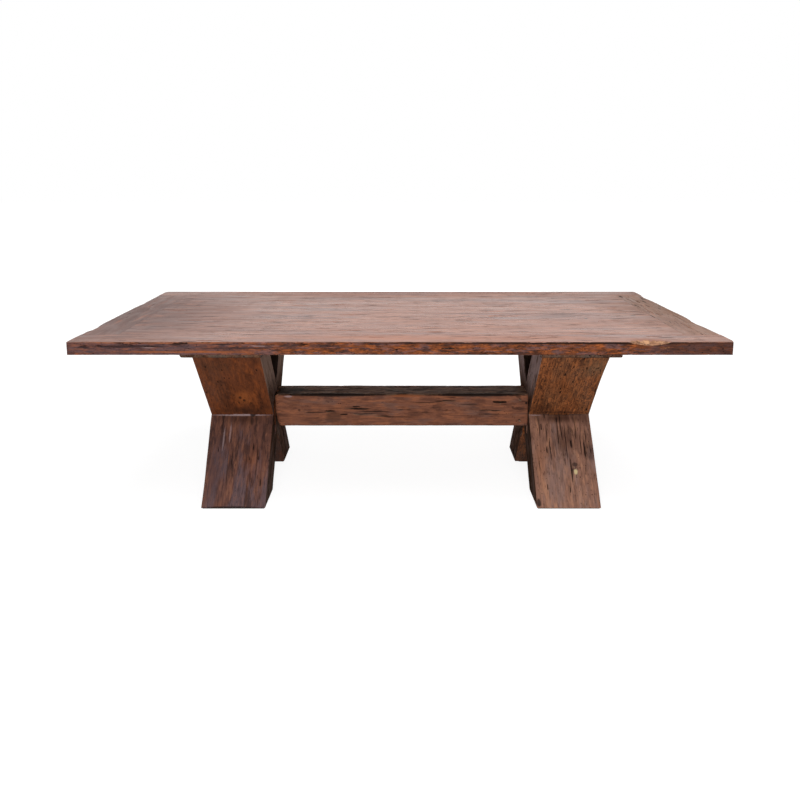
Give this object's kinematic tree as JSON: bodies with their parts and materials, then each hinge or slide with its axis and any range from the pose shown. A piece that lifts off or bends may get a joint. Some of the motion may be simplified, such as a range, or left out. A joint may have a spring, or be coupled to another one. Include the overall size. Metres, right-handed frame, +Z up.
{
  "type": "trestle dining table",
  "caption": "Rustic trestle dining table with a thick planked top, worn natural-edged end boards, and X-shaped laminated trestles joined by a heavy low stretcher.",
  "frame": {"origin": "on the floor, under the middle of the table's overall box", "axes": "+X along the length of the top to the right, +Y across it from the front edge to the rear edge, +Z up"},
  "size_m": [2.458, 1.067, 0.766],
  "materials": {
    "border_boards": "satin, worn",
    "field_boards": "satin, worn",
    "end_boards": "satin, worn",
    "cleats": "matt",
    "leg_timbers": "matt, worn",
    "stretcher": "matt, worn",
    "steel": "zinc plated",
    "felt": "matt"
  },
  "bodies": {
    "root": {"front_border_board": "border_boards", "rear_border_board": "border_boards", "field_board_1": "field_boards", "field_board_2": "field_boards", "field_board_3": "field_boards", "field_board_4": "field_boards", "field_board_5": "field_boards", "field_board_6": "field_boards", "left_end_board": "end_boards", "right_end_board": "end_boards", "left_cleat": "cleats", "right_cleat": "cleats", "left_leg_a_inner": "leg_timbers", "left_leg_a_outer": "leg_timbers", "left_leg_a_middle_head": "leg_timbers", "left_leg_a_middle_foot": "leg_timbers", "left_leg_b_middle": "leg_timbers", "left_leg_b_inner_head": "leg_timbers", "left_leg_b_inner_foot": "leg_timbers", "left_leg_b_outer_head": "leg_timbers", "left_leg_b_outer_foot": "leg_timbers", "right_leg_a_inner": "leg_timbers", "right_leg_a_outer": "leg_timbers", "right_leg_a_middle_head": "leg_timbers", "right_leg_a_middle_foot": "leg_timbers", "right_leg_b_middle": "leg_timbers", "right_leg_b_inner_head": "leg_timbers", "right_leg_b_inner_foot": "leg_timbers", "right_leg_b_outer_head": "leg_timbers", "right_leg_b_outer_foot": "leg_timbers", "stretcher": "stretcher", "stretcher_bolts": "steel", "stretcher_washers": "steel", "barrel_nuts": "steel", "lag_screws": "steel", "floor_pads": "felt"}
  },
  "joints": []
}
